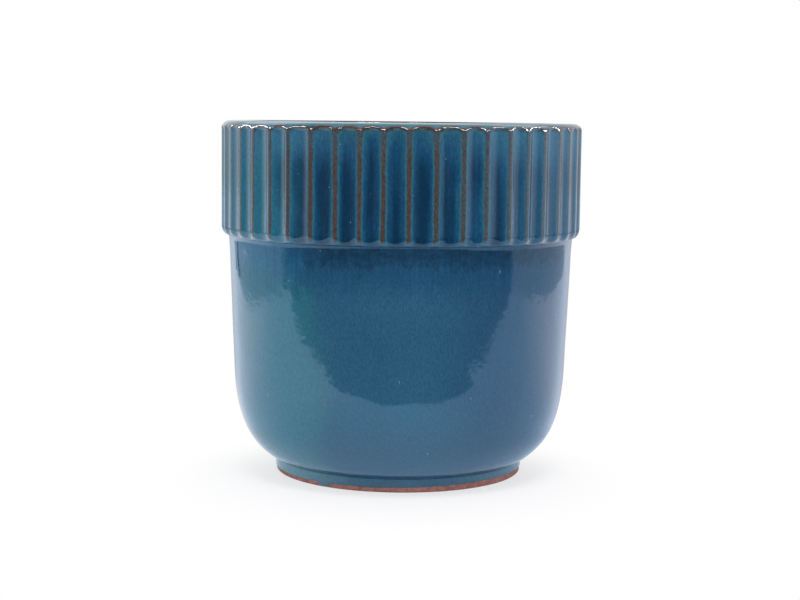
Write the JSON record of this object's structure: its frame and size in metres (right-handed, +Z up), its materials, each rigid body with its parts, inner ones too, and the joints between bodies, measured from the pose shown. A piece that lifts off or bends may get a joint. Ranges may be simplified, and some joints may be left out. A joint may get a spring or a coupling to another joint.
{
  "type": "flower pot",
  "caption": "Round glazed ceramic cover pot with a thick fluted collar at its rim, a smooth rounded body and a turned foot ring; holds a potted plant.",
  "frame": {"origin": "on the table, under the middle of the pot", "axes": "+Z up along the pot's axis, -Y towards the viewer of the picture"},
  "size_m": [0.1801, 0.1801, 0.1755],
  "materials": {
    "bare_clay": "matte",
    "foot_glaze": "gloss",
    "body_glaze": "gloss",
    "collar_glaze": "gloss",
    "lip_glaze": "gloss",
    "liner_glaze": "gloss"
  },
  "bodies": {
    "root": {"foot_ring": "bare_clay", "base_disc": "bare_clay", "body_wall": "bare_clay", "collar_band": "bare_clay", "rim_lip": "bare_clay", "foot_glaze": "foot_glaze", "body_glaze": "body_glaze", "collar_glaze": "collar_glaze", "lip_glaze": "lip_glaze", "liner_glaze": "liner_glaze"}
  },
  "joints": []
}
